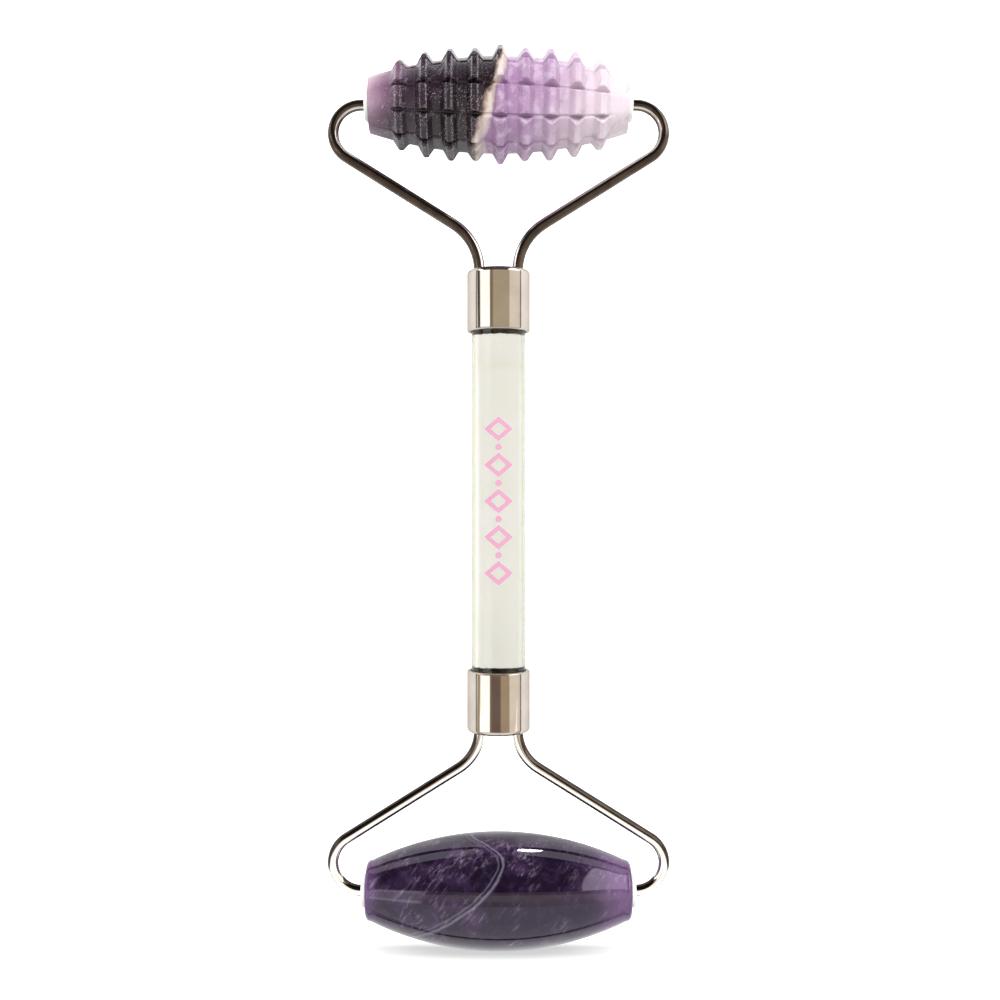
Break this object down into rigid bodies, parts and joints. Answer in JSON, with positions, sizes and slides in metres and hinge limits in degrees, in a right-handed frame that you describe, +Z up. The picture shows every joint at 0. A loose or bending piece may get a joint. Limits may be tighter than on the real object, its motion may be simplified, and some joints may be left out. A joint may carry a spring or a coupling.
{
  "type": "face roller",
  "caption": "Double-ended facial massage roller: a clear rod handle with bright ferrules, wire forks, a spiked violet stone and a smooth dark violet stone that turn freely.",
  "frame": {"origin": "middle of the handle rod, on its axis", "axes": "+Z up with the roller lying on its two stones, +Y along the handle towards the spiked stone, and +X along both axles"},
  "size_m": [0.057, 0.1505, 0.0196],
  "materials": {
    "clear_rod": "polished, clear",
    "bright_metal": "mirror plated",
    "spring_wire": "mirror plated",
    "violet_stone": "cut and lightly polished amethyst",
    "dark_stone": "polished dark amethyst",
    "white_plastic": "satin, translucent",
    "set_epoxy": "cast, slightly yellow"
  },
  "bodies": {
    "frame": {"handle_rod": "clear_rod", "spiked_end_ferrule": "bright_metal", "smooth_end_ferrule": "bright_metal", "spiked_end_epoxy_plug": "set_epoxy", "smooth_end_epoxy_plug": "set_epoxy", "spiked_end_fork_wire": "spring_wire", "smooth_end_fork_wire": "spring_wire"},
    "spiked_roller": {"spiked_roller_stone": "violet_stone", "spiked_left_bushing": "white_plastic", "spiked_right_bushing": "white_plastic"},
    "smooth_roller": {"smooth_roller_stone": "dark_stone", "smooth_left_bushing": "white_plastic", "smooth_right_bushing": "white_plastic"}
  },
  "joints": [
    {"name": "spiked_roller_spin", "type": "hinge", "parent": "frame", "child": "spiked_roller", "pos_m": [0, 0.0661, 0], "axis": [1, 0, 0], "continuous": true},
    {"name": "smooth_roller_spin", "type": "hinge", "parent": "frame", "child": "smooth_roller", "pos_m": [0, -0.065, 0], "axis": [1, 0, 0], "continuous": true}
  ]
}
